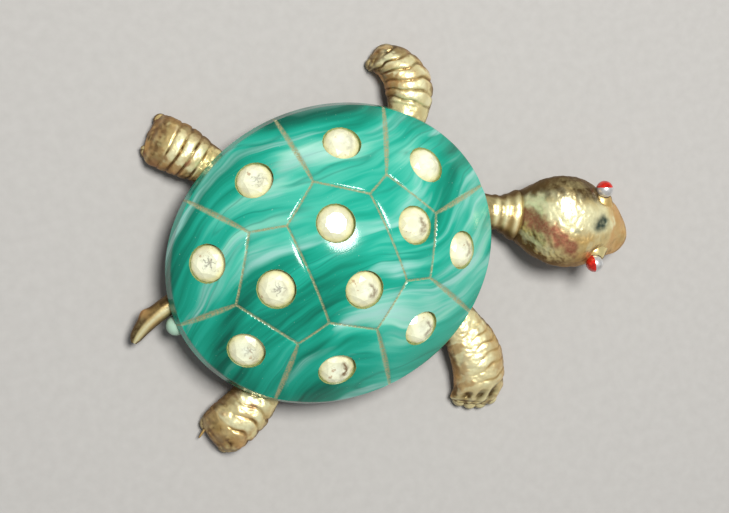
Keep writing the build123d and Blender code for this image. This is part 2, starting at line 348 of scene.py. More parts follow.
# What the material needs to know of each point: how near a groove it is, and whether it is in a seat
rows = point_rows(shell_final).astype(float)
set_mark(shell_final, "groove_nearness", groove_field(rows[:, 0], rows[:, 1])[1])
middles = np.array([polygon.center for polygon in shell_final.polygons])
in_seat = np.zeros(len(middles))
for place in seats.values():
    x, y, z = seen_from(place, middles).T
    beside = np.hypot(x, y) < seat_radius + seat_margin[0]
    in_seat[beside & (np.abs(z) < seat_depth + seat_margin[1])] = 1.0
set_mark(shell_final, "in_seat", in_seat, "FACE")
shell_final.transform(Matrix.Scale(mm, 4) @ shell_turn)
shell_final.shade_smooth()
shell_final.set_sharp_from_angle(angle=math.radians(shell_sharp_angle))
shell = add_object("shell_dome", shell_final)


def operator(operation):
    return lambda *values: worked(operation, *values)


class Wire:
    """An output of a node. Sums of wires and numbers add the nodes that work them out."""

    __add__, __sub__, __mul__ = operator("ADD"), operator("SUBTRACT"), operator("MULTIPLY")
    __truediv__, __pow__, __abs__ = operator("DIVIDE"), operator("POWER"), operator("ABSOLUTE")

    def __init__(self, socket):
        self.socket = socket
        self.tree = socket.id_data

    def __rsub__(self, other):
        return worked("SUBTRACT", other, self)

    def span(self, low, high, to_low=0.0, to_high=1.0):
        """Stretches the values between two limits to lie between two others, and stops there."""
        return wire(self.tree, "ShaderNodeMapRange", (self, low, high, to_low, to_high), clamp=True)


def fill(node, inputs):
    """Fills a node's inputs, by name or in order, with wires or with values."""
    for key, value in inputs.items() if isinstance(inputs, dict) else enumerate(inputs):
        socket = node.inputs[key]
        if isinstance(value, Wire):
            node.id_data.links.new(value.socket, socket)
        else:
            socket.default_value = (*value, 1.0) if socket.type == "RGBA" else value


def add_node(tree, kind, inputs=(), **settings):
    node = tree.nodes.new(kind)
    for key, value in settings.items():
        setattr(node, key, value)
    fill(node, inputs)
    return node


def wire(tree, kind, inputs=(), output=0, **settings):
    """An output of a new node."""
    return Wire(add_node(tree, kind, inputs, **settings).outputs[output])


def worked(operation, *values):
    """What one sum makes of wires and numbers."""
    tree = next(value.tree for value in values if isinstance(value, Wire))
    return wire(tree, "ShaderNodeMath", values, operation=operation)


def new_material(name):
    """An empty node material, its shader, and the place of each point."""
    material = bpy.data.materials.new(name)
    material.use_nodes = True
    place = wire(material.node_tree, "ShaderNodeTexCoord", output="Object")
    return material, material.node_tree.nodes["Principled BSDF"], place


def read_mark(shader, name, output="Fac"):
    """A mark of the mesh, in the shader's material."""
    return wire(shader.id_data, "ShaderNodeAttribute", output=output, attribute_name=name)


def moved(place, shift=(0, 0, 0), stretch=(1, 1, 1)):
    return wire(place.tree, "ShaderNodeMapping", {"Vector": place, "Location": shift, "Scale": stretch})


def split(vector):
    """A vector's three numbers."""
    return [Wire(output) for output in add_node(vector.tree, "ShaderNodeSeparateXYZ", [vector]).outputs]


def noise_of(place, scale, detail=3.0, roughness=0.5, distortion=0.0):
    return wire(place.tree, "ShaderNodeTexNoise", {
        "Vector": place, "Scale": scale, "Detail": detail, "Roughness": roughness, "Distortion": distortion,
    })


def color_ramp(value, stops):
    node = add_node(value.tree, "ShaderNodeValToRGB", [value])
    ramp = node.color_ramp
    while len(ramp.elements) < len(stops):
        ramp.elements.new(0.5)
    for element, (place, color) in zip(ramp.elements, stops):
        element.position = place
        element.color = (*color, 1.0)
    return Wire(node.outputs["Color"])


def mix_colors(share, a, b):
    """The first color, with a share of the second over it."""
    return wire(share.tree, "ShaderNodeMix", {0: share, 6: a, 7: b}, 2, data_type="RGBA")


def bump(height, distance, strength):
    inputs = {"Height": height, "Distance": distance, "Strength": strength}
    return wire(height.tree, "ShaderNodeBump", inputs)


def new_group(name, kind, inputs, outputs):
    """A node group with named inputs and outputs, and the wires of its inputs."""
    group = bpy.data.node_groups.new(name, kind)
    for in_out, sockets in (("INPUT", inputs), ("OUTPUT", outputs)):
        for socket, socket_type in sockets.items():
            group.interface.new_socket(socket, in_out=in_out, socket_type="NodeSocket" + socket_type)
    given = add_node(group, "NodeGroupInput")
    return group, [Wire(given.outputs[socket]) for socket in inputs]


# The fine grain that every surface has, with a mask taken from it between two of its values
grain_numbers = ("Scale", "Detail", "Roughness", "From Low", "From High", "To Low", "To High")
surface_grain, (place, *numbers) = new_group(
    "surface_grain", "ShaderNodeTree",
    {"Place": "Vector", **dict.fromkeys(grain_numbers, "Float")},
    {"Grain": "Float", "Mask": "Float"},
)
grain = noise_of(place, *numbers[:3])
add_node(surface_grain, "NodeGroupOutput", [grain, grain.span(*numbers[3:])])


def grained(place, scale, detail=3.0, roughness=0.5, limits=(0.3, 0.7), values=(0.0, 1.0)):
    """Places the grain in a material, and gives its noise and its mask."""
    node = add_node(place.tree, "ShaderNodeGroup", node_tree=surface_grain)
    fill(node, (place, scale, detail, roughness, *limits, *values))
    return Wire(node.outputs["Grain"]), Wire(node.outputs["Mask"])


# The stirred colours, from the darkest to the palest
marble_colors = [
    (0.26, (0.003, 0.120, 0.078)),
    (0.36, (0.004, 0.250, 0.165)),
    (0.45, (0.008, 0.360, 0.245)),
    (0.53, (0.018, 0.440, 0.315)),
    (0.61, (0.085, 0.560, 0.420)),
    (0.69, (0.250, 0.690, 0.540)),
    (0.80, (0.480, 0.860, 0.740)),
]
dark_vein = (0.004, 0.120, 0.085)
pale_wisp = (0.360, 0.680, 0.620)
dust_speck = (0.50, 0.74, 0.62)
groove_gold = (0.40, 0.38, 0.20)
seat_olive = (0.36, 0.38, 0.14)
seat_green = (0.22, 0.30, 0.11)
stir_slope = 0.06
stir_bend = 0.0035
stir_middle = 3.0
stir_sway = 8.0
stir_curl = 1.2
stir_contrast = 1.45
vein_tone = 0.47
rim_painted_shade = 0.10
# Each stir: its scale along the stirring, its scale over it, detail and distortion
stirs = {
    "broad": (0.055, 0.13, 1.0, 0.4),
    "streaks": (0.07, 0.42, 2.0, 0.5),
    "fine": (0.10, 1.3, 2.0, 0.4),
    "veins": (0.05, 0.36, 1.0, 0.4),
    "wisps": (0.07, 0.45, 2.0, 0.6),
}

plastic, shader, place = new_material("marbled_plastic")
in_mm = moved(place, shift=-shell_centre, stretch=(1 / mm,) * 3)
x, y, z = split(in_mm)
sway = noise_of(in_mm, 0.07, 0.0) - 0.5
curl = noise_of(in_mm, 0.24, 1.0) - 0.5
off_middle = x - stir_middle
bent = abs(off_middle) ** 3.0 * (stir_bend / 3) * worked("SIGN", off_middle) + x * stir_slope
over = y - bent + sway * stir_sway + curl * stir_curl
stirred = {}
for name, (along_scale, over_scale, detail, distortion) in stirs.items():
    drawn_out = (x * along_scale, over * over_scale, z * along_scale)
    drawn_out = wire(place.tree, "ShaderNodeCombineXYZ", drawn_out)
    stirred[name] = noise_of(drawn_out, 1.0, detail, distortion=distortion)
fine = stirred["fine"]
tone = stirred["broad"] * 0.44 + stirred["streaks"] * 0.40 + fine * 0.16
tone = tone * stir_contrast + (0.5 - 0.5 * stir_contrast)
# Towards the rim the green is painted deeper, as painted shade for the thin rim that lets less light back.
outward = (x / (shell_length / 2)) ** 2.0 + (y / (shell_width / 2)) ** 2.0
color = color_ramp(tone - outward.span(0.55, 1.05, 0.0, rim_painted_shade), marble_colors)
vein = abs(stirred["veins"] - vein_tone).span(0.0, 0.03, 0.4, 0.0) * fine.span(0.42, 0.55, 0.15, 1.0)
color = mix_colors(vein, color, dark_vein)
wisp = stirred["wisps"].span(0.57, 0.70) * fine.span(0.4, 0.6, 0.25, 0.85)
color = mix_colors(wisp, color, pale_wisp)
color = mix_colors(noise_of(place, 5200, 1.0).span(0.77, 0.81, 0.0, 0.5), color, dust_speck)
grains, paint_left = grained(place, 4600, 2.0, 0.7, limits=(0.40, 0.56), values=(0.35, 0.95))
paint = read_mark(shader, "groove_nearness").span(1.05, 0.45) * paint_left
color = mix_colors(paint, color, groove_gold)
# The seats' walls are olive and green, partly their own olive-gold and partly painted shade inside the
# drilled seats.
seat = read_mark(shader, "in_seat")
color = mix_colors(seat, color, mix_colors(grains.span(0.42, 0.6), seat_green, seat_olive))
fill(shader, {
    "Base Color": color,
    "Roughness": worked("MAXIMUM", paint, seat * 0.7).span(0.0, 1.0, 0.13, 0.5),
    "IOR": 1.49,
    "Normal": bump(grains, 0.00001, 0.3),
})
shell_final.materials.append(plastic)
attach(shell, "root")
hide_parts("shell")


# The twelve stones.
# Round stones of clear glass with a gold foil back are glued in the seats. The table is ringed by
# eight kites, with small facets between them, and each stone was turned as it fell.
stone_radius = 1.87
table_radius = 1.08
kite_radius = 1.54
crown_height = 0.6
girdle_height = 0.12
culet_height = 1.45
pavilion_knee = 0.95
facet_count = 8
facet_painted_light = (0.35, 1.0, 0.6, 0.85, 0.5)
girdle_count = 2 * facet_count
girdle_level = -crown_height - girdle_height
kite_cos = math.cos(math.pi / facet_count)
kite_drop = crown_height * (kite_radius * kite_cos - table_radius) / (stone_radius - table_radius)
knee_level = girdle_level - culet_height * (1 - pavilion_knee / stone_radius / kite_cos) * 0.98

stone = bmesh.new()


def stone_ring(radius, height, offset=0, count=facet_count):
    return [
        stone.verts.new((radius * mm * across, radius * mm * up, height * mm))
        for across, up in round_steps(count, offset)
    ]


table = stone_ring(table_radius, 0)
kites = stone_ring(kite_radius, -kite_drop, 0.5)
girdle_top = stone_ring(stone_radius, -crown_height, count=girdle_count)
girdle_low = stone_ring(stone_radius, girdle_level, count=girdle_count)
knees = stone_ring(pavilion_knee, knee_level, 0.5)
culet = stone.verts.new((0, 0, (girdle_level - culet_height) * mm))
crown_faces = [table]
foil_faces = []
for i in range(facet_count):
    k = (i + 1) % facet_count
    mid = 2 * i + 1
    crown_faces.append([table[i], kites[i], table[k]])
    crown_faces.append([table[i], kites[i - 1], girdle_top[2 * i], kites[i]])
    crown_faces.append([kites[i], girdle_top[2 * i], girdle_top[mid]])
    crown_faces.append([kites[i], girdle_top[mid], girdle_top[2 * k]])
    foil_faces.append([girdle_low[2 * i], knees[i], culet, knees[i - 1]])
    foil_faces.append([girdle_low[2 * i], girdle_low[mid], knees[i]])
    foil_faces.append([girdle_low[mid], girdle_low[2 * k], knees[i]])
for i in range(girdle_count):
    k = (i + 1) % girdle_count
    crown_faces.append([girdle_top[i], girdle_low[i], girdle_low[k], girdle_top[k]])
foil_mark = stone.faces.layers.bool.new("foil")
# Each face keeps a painted light value: the table is brightest, and the other facets get painted shade of
# differing depth.
painted_light_mark = stone.faces.layers.float.new("facet_light")
for face_corners, foiled in ((crown_faces, False), (foil_faces, True)):
    for number, corners in enumerate(face_corners):
        face = stone.faces.new(corners)
        face[foil_mark] = foiled
        face[painted_light_mark] = 1.0 if number == 0 else facet_painted_light[number % len(facet_painted_light)]
bmesh.ops.recalc_face_normals(stone, faces=stone.faces)
stone_mesh = bpy.data.meshes.new("one_stone")
stone.to_mesh(stone_mesh)
stone.free()
one_stone = add_object("one_stone", stone_mesh)

# What the photograph shows of each stone: how lifted its foil is, how brown that place is, and how
# plain its star
stone_flaws = {
    "stone_centre_left": (0.10, 0.8, 0.15),
    "stone_centre_right": (0.80, 0.7, 0.25),
    "stone_front": (0.75, 0.9, 0.1),
    "stone_rear": (0.30, 0.8, 0.9),
    "stone_side_front_left": (0.40, 0.1, 0.2),
    "stone_side_front_right": (0.85, 0.4, 0.1),
    "stone_side_rear_left": (0.30, 0.1, 0.7),
    "stone_side_rear_right": (0.95, 0.9, 0.1),
    "stone_rim_front_left": (0.40, 0.1, 0.2),
    "stone_rim_front_right": (0.65, 0.8, 0.2),
    "stone_rim_rear_left": (0.10, 0.1, 0.9),
    "stone_rim_rear_right": (0.15, 0.2, 0.6),
}
flaw_turn = -24.0
# The glass's colour from its middle out to its girdle, painted darker towards the girdle as painted shade.
glass_colors_with_edge_shade = [
    (0.0, (0.95, 1.0, 0.80)),
    (0.70, (0.95, 0.97, 0.68)),
    (0.90, (0.88, 0.84, 0.48)),
    (1.0, (0.56, 0.54, 0.26)),
]
foil_colors = [
    (0.30, (0.40, 0.26, 0.13)),
    (0.40, (0.90, 0.78, 0.50)),
    (0.60, (1.0, 0.95, 0.80)),
]
facet_painted_shade = (0.58, 0.50, 0.28)
cloud_gray = (0.60, 0.57, 0.38)
spot_brown = (0.45, 0.26, 0.13)
star_gray = (0.20, 0.18, 0.15)
flaw_gray = (0.38, 0.36, 0.28)
flaw_rust = (0.17, 0.085, 0.025)
star_place = (0.16, 0.05)
star_rays = 2.5
star_bend = 14.0
flaw_side = 0.12
flaw_reach = 0.40
painted_glow = 0.20

cut_glass, shader, place = new_material("cut_glass")
right, ahead, _ = split(read_mark(shader, "plan", "Vector"))
aged, glass_roughness = grained(place, 850, 4.0, 0.65, values=(0.30, 0.20))
wander = aged - 0.5
fine_age = noise_of(place, 3200)


def flat_distance(a, b):
    return worked("SQRT", a * a + b * b)


# Painted shade darkens the glass towards the girdle.
color = color_ramp(flat_distance(right, ahead), glass_colors_with_edge_shade)
# Each facet gets painted shade by its painted light value.
color = mix_colors(read_mark(shader, "facet_light").span(0.0, 1.0, 0.2, 0.0), color, facet_painted_shade)
color = mix_colors(noise_of(place, 620, roughness=0.6).span(0.43, 0.60, 0.0, 0.42), color, cloud_gray)
color = mix_colors(aged.span(0.36, 0.30, 0.0, 0.7), color, spot_brown)
star_right = right - star_place[0]
star_ahead = ahead - star_place[1]
from_star = flat_distance(star_right, star_ahead)
ray_turn = worked("ARCTAN2", star_ahead, star_right) * star_rays + wander * star_bend
ray = abs(worked("SINE", ray_turn)) * from_star
star = ray.span(0.16, 0.03) * (fine_age * 1.1 + from_star).span(1.15, 0.8)
color = mix_colors(star * (read_mark(shader, "star") * 0.75), color, star_gray)
flaw_right = right - flaw_side
flaw_ring = abs(flat_distance(flaw_right, ahead) + wander * 0.9 - flaw_reach)
flaw = (fine_age * 0.16 + flaw_ring).span(0.30, 0.10) * flaw_right.span(-0.02, 0.2)
flaw_color = mix_colors(read_mark(shader, "rust"), flaw_gray, flaw_rust)
color = mix_colors(flaw * read_mark(shader, "flaw"), color, flaw_color)
# The glass gets a faint painted glow in its own colour, standing in for the light that the foil behind sends
# back out.
fill(shader, {
    "Base Color": color,
    "Emission Color": color,
    "Emission Strength": painted_glow,
    "Roughness": glass_roughness,
    "Metallic": 0.15,
    "Coat Weight": 0.85,
    "Coat Roughness": 0.13,
})
foil, shader, place = new_material("gold_foil")
aged, foil_roughness = grained(place, 1100, 5.0, 0.65, values=(0.5, 0.3))
fill(shader, {"Base Color": color_ramp(aged, foil_colors), "Roughness": foil_roughness, "Metallic": 0.7})

# Geometry Nodes set the stone in every seat, turned by chance, with glass over foil.
stone_inputs = {
    "Seats": "Geometry", "Stone": "Object", "Glass": "Material",
    "Foil": "Material", "Turn": "Float", "Seed": "Int",
}
stone_tree, given = new_group("stones_in_seats", "GeometryNodeTree", stone_inputs, {"Stones": "Geometry"})
given_seats, given_stone, given_glass, given_foil, given_turn, given_seed = given
named_mark = "GeometryNodeInputNamedAttribute"
facing = wire(stone_tree, named_mark, ["facing"], "Attribute", data_type="FLOAT_VECTOR")
foiled = wire(stone_tree, named_mark, ["foil"], "Attribute", data_type="BOOLEAN")
turn = wire(stone_tree, "FunctionNodeRandomValue", {3: given_turn, "Seed": given_seed}, 1, data_type="FLOAT")
placed = wire(stone_tree, "GeometryNodeInstanceOnPoints", {
    "Points": wire(stone_tree, "GeometryNodeMeshToPoints", [given_seats]),
    "Instance": wire(stone_tree, "GeometryNodeObjectInfo", [given_stone], "Geometry"),
    "Rotation": wire(stone_tree, "FunctionNodeAlignRotationToVector", {"Vector": facing}, axis="Z"),
})
upright = wire(stone_tree, "ShaderNodeCombineXYZ", {"Z": turn})
turned = wire(stone_tree, "GeometryNodeRotateInstances", {"Instances": placed, "Rotation": upright})
realized = wire(stone_tree, "GeometryNodeRealizeInstances", [turned])
glazed = wire(stone_tree, "GeometryNodeSetMaterial", {"Geometry": realized, "Material": given_glass})
backed = {"Geometry": glazed, "Selection": foiled, "Material": given_foil}
add_node(stone_tree, "NodeGroupOutput", [wire(stone_tree, "GeometryNodeSetMaterial", backed)])

seat_turns = [shell_turn @ place for place in seats.values()]
seat_mesh = bpy.data.meshes.new("stones")
seat_mesh.from_pydata([tuple(turn.translation * mm) for turn in seat_turns], [], [])
facings = [turn.to_3x3() @ Vector((0, 0, 1)) for turn in seat_turns]
set_mark(seat_mesh, "facing", facings, kind="FLOAT_VECTOR")
stones = add_object("stones", seat_mesh)
setter = stones.modifiers.new("stones", "NODES")
setter.node_group = stone_tree
chosen = {"Stone": one_stone, "Glass": cut_glass, "Foil": foil, "Turn": math.radians(360), "Seed": 7}
for item in stone_tree.interface.items_tree:
    if item.in_out == "INPUT" and item.name in chosen:
        setter[item.identifier] = chosen[item.name]
set_stones = finished_mesh(stones)
stones.modifiers.remove(setter)
stones.data = set_stones
bpy.data.objects.remove(one_stone)

# Each point keeps its place in its own stone, and that stone's flaws.
rows = point_rows(set_stones) / mm
plans = np.zeros_like(rows)
flaws = np.zeros_like(rows)
nearest_seat = np.full(len(rows), np.inf)
for name, place in seats.items():
    local = seen_from(shell_turn @ place @ Matrix.Rotation(math.radians(flaw_turn), 4, "Z"), rows)
    away = np.linalg.norm(local, axis=1)
    mine = away < nearest_seat
    nearest_seat[mine] = away[mine]
    plans[mine] = local[mine] / stone_radius
    flaws[mine] = stone_flaws[name]
for name, values in zip(("flaw", "rust", "star"), flaws.T):
    set_mark(set_stones, name, values)
set_mark(set_stones, "plan", plans, kind="FLOAT_VECTOR")
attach(stones, "root")
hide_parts(*seats)


# The casting.
# The plate, the ringed neck and head, the four wrinkled legs, the tail and the small lug are cast in
# one in white metal and plated with gold. The tops are painted brighter and the sides browner, partly
# as rubbed plating and partly as painted shade, and painted highlights lie on ridges and crests.
glue_gap = 0.05
plate_thickness = 1.2
plate_inset = 0.8
plate_round = 0.35
plate_round_steps = 5
plate_sides = 180
plate_top = shell_base - glue_gap
centre = shell_centre.xy
mark_names = ("hollow", "red_wear", "stain", "smooth", "crown", "mint")
casting_pieces = []


def soft_step(value, low, high):
    share = min(1.0, max(0.0, (value - low) / (high - low)))
    return share * share * (3 - 2 * share)


def hill(value, width):
    return math.exp(-((value / width) ** 2))


def level_way(turn):
    return Vector((math.cos(turn), math.sin(turn), 0))


def right_of(way):
    return Vector((way.y, -way.x, 0))


def section_at(rows, share):
    """A row of a table of sections, read smoothly between its rows at a share of the length."""
    shares = [row[0] for row in rows]
    i = max(0, min(len(rows) - 2, sum(s <= share for s in shares) - 1))
    low, high = max(0, i - 1), min(len(rows) - 1, i + 2)
    span = shares[i + 1] - shares[i]
    t = min(1, max(0, (share - shares[i]) / span))
    found = []
    for before, start, end, after in list(zip(rows[low], rows[i], rows[i + 1], rows[high]))[1:]:
        slope_a = (end - before) / (shares[i + 1] - shares[low]) * span
        slope_b = (after - start) / (shares[high] - shares[i]) * span
        found.append(
            (2 * t**3 - 3 * t**2 + 1) * start + (t**3 - 2 * t**2 + t) * slope_a
            + (3 * t**2 - 2 * t**3) * end + (t**3 - t**2) * slope_b
        )
    return found


def curled_path(start, heading, bend, reach, shares):
    """Points and headings along a level path whose bend grows towards its end."""
    found = []
    x, y = start
    last = 0.0
    for share in shares:
        turn = math.radians(heading + bend * ((share + last) / 2) ** 2)
        x += (share - last) * reach * math.cos(turn)
        y += (share - last) * reach * math.sin(turn)
        last = share
        found.append((Vector((x, y, 0)), math.radians(heading + bend * share**2)))
    return found


def add_piece(name, rings, marks=None, **even_marks):
    """Adds a piece of the casting, with marks for each of its points or the same all over."""
    mesh = solid_mesh(name, [rings])
    even = [even_marks.get(mark_name, 0.0) for mark_name in mark_names]
    rows = [*marks, marks[0], marks[-1]] if marks else [even] * len(mesh.vertices)
    for mark_name, values in zip(mark_names, zip(*rows)):
        set_mark(mesh, mark_name, values)
    casting_pieces.append(add_object(name, mesh))


# The plate is an oval slab with rounded edges.
plate_profile = [
    (plate_round * (1 - math.sin(rise)), plate_round * (1 - math.cos(rise)))
    for rise in [math.pi / 2 * i / plate_round_steps for i in range(plate_round_steps + 1)]
]
plate_profile += [(out, plate_thickness - level) for out, level in reversed(plate_profile)]
plate_turn = Matrix.Rotation(math.radians(shell_twist), 3, "Z")
plate_rings = []
for out, level in plate_profile:
    half_long = shell_length / 2 - plate_inset - out
    half_wide = shell_width / 2 - plate_inset - out
    middle = Vector((centre.x, centre.y, plate_top - plate_thickness + level))
    plate_rings.append([
        middle + plate_turn @ Vector((half_long * along, half_wide * across, 0))
        for along, across in round_steps(plate_sides)
    ])
add_piece("plate", plate_rings)

# The legs. Roots are in shares of half the shell, and the ribs lie between two shares of the leg.
leg_width = 5.4
leg_sink = 0.15
leg_allowance = 0.16
leg_height = plate_top - leg_sink - leg_allowance
leg_steps = 130
leg_sides = 88
tip_steps = 5
tip_round = 0.32
tip_blunt = 0.35
rib_valley_width = 0.12
toe_diameter = 1.5
toe_line = 0.95
toe_lift = 0.45
toe_sides = 28
toe_rings = 14
toe_gap_width = 0.20
toe_gap_spread = 1.2
notch_place = 0.905
notch_width = 0.042
notch_cut = 1.1
notch_dark = 2.6
knuckle_place = 0.96
knuckle_width = 0.02
coarse_lump = 0.08
fine_lump = 0.04
side_growth = 0.8
leg_names = ("front_left", "front_right", "rear_left", "rear_right")
leg_table = {
    "root": ((0.62, 0.63), (0.61, -0.62), (-0.475, 0.72), (-0.505, -0.7)),
    "heading": (52, -66, 132, -146),
    "bend": (118, -68, 10, -14),
    "reach": (10.8, 11.9, 8.3, 9.3),
    "width": (1.0, 1.1, 0.98, 1.0),
    "foot": (0.72, 0.97, 1.06, 1.0),
    "toes": (3, 4, 3, 3),
    "toe_spread": (0.62, 0.82, 0.86, 0.8),
    "toe_shift": (-0.25, -0.2, 0.25, 0.0),
    "toe_cut": (0.14, 0.30, 0.08, 0.08),
    "toe_turn": (-30, 22, 0, 0),
    "toe_out": (0.1, 0.25, 0.1, 0.1),
    "toe_size": (1.0, 1.1, 1.0, 1.0),
    "toe_arc": (0.0, 0.42, 0.0, 0.0),
    "ribs": ((0.34, 0.95), (0.30, 0.86), (0.34, 0.76), (0.30, 0.78)),
    "rib_count": (5, 6, 3, 3),
    "rib_cut": (0.15, 0.06, 0.20, 0.16),
    "rib_dark": (0.68, 0.42, 1.0, 0.6),
    "rib_side": (0.0, 0.85, 0.0, 0.6),
    "bulge": (0.08, 0.03, 0.06, 0.07),
    "wander": (0.22, 0.4, 0.1, 0.25),
    "skew": (0.3, -0.35, 0.15, -0.3),
    "rough": (1.1, 1.5, 1.2, 1.6),
    "brown_side": (1.0, 0.7, 1.0, 0.8),
    "foot_dark": (0.7, 0.0, 0.8, 0.65),
    "bright": (0.3, 0.65, 0.0, 0.3),
}
# Sections of a leg: share of its length, width, top, underside, and how much of the foot's width it has
leg_sections = [
    (0.0, 0.76, 0.96, 0.30, 0.0),
    (0.25, 0.82, 1.00, 0.18, 0.0),
    (0.5, 0.98, 1.06, 0.03, 0.1),
    (0.75, 1.00, 0.99, -0.12, 0.6),
    (0.9, 0.98, 0.84, -0.16, 1.0),
    (0.97, 0.86, 0.68, -0.12, 1.0),
    (1.0, 0.70, 0.54, -0.06, 1.0),
]
# Worn places of the legs: along it, across it, half length, half width, and how tan, red and brown
leg_spots = {
    "front_left": [
        (0.86, 0.60, 0.10, 0.45, (0.5, 0.0, 0.75)),
        (0.70, 0.85, 0.08, 0.30, (0.7, 0.0, 0.35)),
        (0.60, -0.75, 0.10, 0.30, (0.95, 0.1, 0.25)),
        (0.46, -0.85, 0.07, 0.25, (0.8, 0.0, 0.45)),
        (0.98, -0.10, 0.05, 0.60, (0.3, 0.0, 0.55)),
    ],
    "front_right": [
        (0.36, 0.75, 0.06, 0.30, (0.65, 0.15, 0.0)),
        (0.48, 0.50, 0.05, 0.20, (0.3, 0.25, 0.2)),
        (0.60, 0.80, 0.06, 0.25, (0.6, 0.05, 0.1)),
        (0.77, 0.75, 0.05, 0.30, (0.65, 0.15, 0.0)),
        (0.55, -0.75, 0.30, 0.35, (0.55, 0.0, 0.0)),
    ],
    "rear_left": [
        (0.95, 0.40, 0.08, 0.70, (0.8, 0.15, 0.5)),
        (0.85, -0.75, 0.15, 0.35, (0.7, 0.0, 0.6)),
        (0.60, -0.80, 0.25, 0.30, (0.9, 0.1, 0.2)),
        (0.47, -0.45, 0.05, 0.20, (0.2, 0.7, 0.0)),
        (0.60, 0.90, 0.40, 0.30, (0.3, 0.0, 0.7)),
    ],
    "rear_right": [
        (0.97, -0.10, 0.08, 0.80, (0.6, 0.1, 0.6)),
        (0.80, -0.60, 0.12, 0.40, (0.8, 0.1, 0.1)),
        (0.88, 0.75, 0.10, 0.30, (0.4, 0.0, 0.6)),
        (0.45, 0.05, 0.05, 0.25, (0.2, 0.6, 0.0)),
        (0.50, 0.85, 0.20, 0.30, (0.3, 0.0, 0.6)),
    ],
}
# Claws, from the shell's middle: root, tip and thickness
claws = {
    "rear_left_claw": ((-15.1, 15.95, 1.2), (-15.75, 16.05, 1.0), 0.34),
    "rear_right_claw": ((-17.75, -14.15, 1.1), (-18.65, -14.95, 0.9), 0.16),
}
# A claw's profile: share of its thickness, share of its length
claw_profile = [(1, -0.7), (1, 0.0), (0.85, 0.5), (0.6, 0.85), (0.2, 1.0)]
claw_sides = 20

